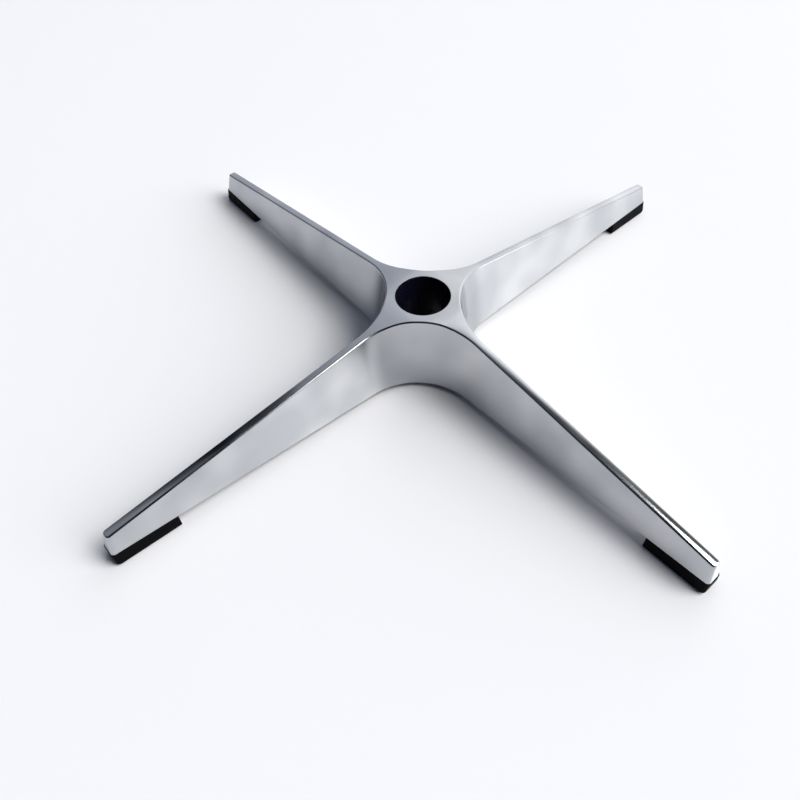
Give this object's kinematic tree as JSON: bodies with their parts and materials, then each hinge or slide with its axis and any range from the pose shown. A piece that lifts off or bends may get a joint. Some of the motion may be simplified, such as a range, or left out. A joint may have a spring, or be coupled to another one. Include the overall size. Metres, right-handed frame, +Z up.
{
  "type": "office chair base",
  "caption": "Low star-shaped chair base in polished cast aluminium, with tapering arms, a round hub socket for a column and black pads under the arm ends.",
  "frame": {"origin": "hub axis at floor level, under the middle of the base", "axes": "+Z up along the hub's socket, with one arm along +X and the next along +Y"},
  "size_m": [0.6584, 0.6584, 0.075],
  "materials": {
    "polished_aluminium": "polished die casting",
    "black_pad": "moulded black nylon",
    "zinc_steel": "zinc-plated"
  },
  "bodies": {
    "root": {"base_casting": "polished_aluminium", "foot_pad_1": "black_pad", "foot_pad_2": "black_pad", "foot_pad_3": "black_pad", "foot_pad_4": "black_pad", "pad_screws": "zinc_steel"}
  },
  "joints": []
}
